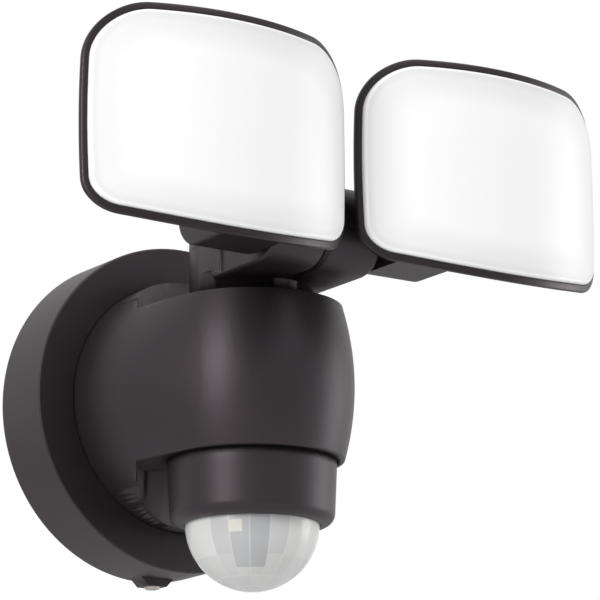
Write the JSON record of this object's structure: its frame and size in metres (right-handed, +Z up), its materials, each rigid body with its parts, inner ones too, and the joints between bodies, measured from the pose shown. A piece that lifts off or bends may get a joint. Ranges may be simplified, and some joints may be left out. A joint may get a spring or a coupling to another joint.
{
  "type": "motion sensor security light",
  "caption": "Wall security light: a round base and rounded body carry two bowed tilting light heads on a turning hub, with a turning motion sensor dome below.",
  "frame": {"origin": "centre of the base's rear face, on the wall plane", "axes": "+Y into the wall, the light stands out along -Y; +Z up; +X to the right as seen from the room, along the tilt axis"},
  "size_m": [0.2338, 0.164, 0.1934],
  "materials": {
    "bracket_steel": "zinc plated",
    "housing_plastic": "fine texture, satin",
    "head_metal": "dark powder coat",
    "opal_lens": "opal, satin",
    "seal_rubber": "matt",
    "screw_steel": "satin",
    "hinge_steel": "zinc plated",
    "slip_nylon": "satin",
    "nut_plastic": "matt",
    "terminal_nylon": "satin",
    "board_green": "solder mask",
    "board_white": "white solder mask",
    "led_phosphor": "satin",
    "transformer_tape": "satin",
    "capacitor_can": "satin",
    "relay_case": "satin",
    "dome_lens": "milky, satin",
    "pir_can": "satin",
    "photocell": "clear",
    "pot_case": "satin",
    "dial_plastic": "satin"
  },
  "bodies": {
    "base": {"wall_bracket": "bracket_steel", "earth_screw": "screw_steel", "cable_grommet": "seal_rubber", "base_drum": "housing_plastic", "base_gasket": "seal_rubber", "clamp_screw": "screw_steel", "terminal_block": "terminal_nylon", "terminal_screws": "screw_steel", "body_housing": "housing_plastic", "body_screws": "screw_steel", "body_seal": "seal_rubber", "driver_board": "board_green", "board_screws": "screw_steel", "driver_transformer": "transformer_tape", "driver_capacitors": "capacitor_can", "driver_relay": "relay_case"},
    "hub": {"hub_base": "housing_plastic", "hub_cover": "housing_plastic", "hub_screws": "screw_steel", "hub_slip_ring": "slip_nylon", "hub_nut": "nut_plastic", "hinge_tubes": "hinge_steel", "hinge_inner_nuts": "hinge_steel", "hinge_outer_nuts": "hinge_steel", "hinge_washers": "slip_nylon", "spring_washers": "hinge_steel"},
    "head_right": {"head_shell_right": "head_metal", "head_bezel_right": "housing_plastic", "head_lens_right": "opal_lens", "head_gasket_right": "seal_rubber", "led_board_right": "board_white", "leds_right": "led_phosphor", "head_screws_right": "screw_steel"},
    "head_left": {"head_shell_left": "head_metal", "head_bezel_left": "housing_plastic", "head_lens_left": "opal_lens", "head_gasket_left": "seal_rubber", "led_board_left": "board_white", "leds_left": "led_phosphor", "head_screws_left": "screw_steel"},
    "sensor": {"sensor_collar": "housing_plastic", "sensor_lens": "dome_lens", "sensor_board": "board_green", "sensor_screws": "screw_steel", "sensor_pir": "pir_can", "sensor_photocell": "photocell", "sensor_choke": "capacitor_can", "sensor_pots": "pot_case", "sensor_nut": "nut_plastic"},
    "time_dial": {"dial_time": "dial_plastic"},
    "light_dial": {"dial_light": "dial_plastic"},
    "range_dial": {"dial_range": "dial_plastic"}
  },
  "joints": [
    {"name": "hub_pan", "type": "hinge", "parent": "base", "child": "hub", "pos_m": [0, -0.078, 0.0372], "axis": [0, 0, 1], "range_deg": [-45, 45]},
    {"name": "tilt_right", "type": "hinge", "parent": "hub", "child": "head_right", "pos_m": [0.03, -0.118, 0.052], "axis": [1, 0, 0], "range_deg": [-25, 50]},
    {"name": "tilt_left", "type": "hinge", "parent": "hub", "child": "head_left", "pos_m": [-0.03, -0.118, 0.052], "axis": [1, 0, 0], "range_deg": [-25, 50]},
    {"name": "sensor_pan", "type": "hinge", "parent": "base", "child": "sensor", "pos_m": [0, -0.078, -0.028], "axis": [0, 0, 1], "range_deg": [-90, 90]},
    {"name": "time_turn", "type": "hinge", "parent": "sensor", "child": "time_dial", "pos_m": [0.0146, -0.05271, -0.04], "axis": [0.5, 0.866, 0], "range_deg": [-135, 135]},
    {"name": "light_turn", "type": "hinge", "parent": "sensor", "child": "light_dial", "pos_m": [0, -0.0488, -0.04], "axis": [0, 1, 0], "range_deg": [-135, 135]},
    {"name": "range_turn", "type": "hinge", "parent": "sensor", "child": "range_dial", "pos_m": [-0.0146, -0.05271, -0.04], "axis": [-0.5, 0.866, 0], "range_deg": [-135, 135]}
  ]
}
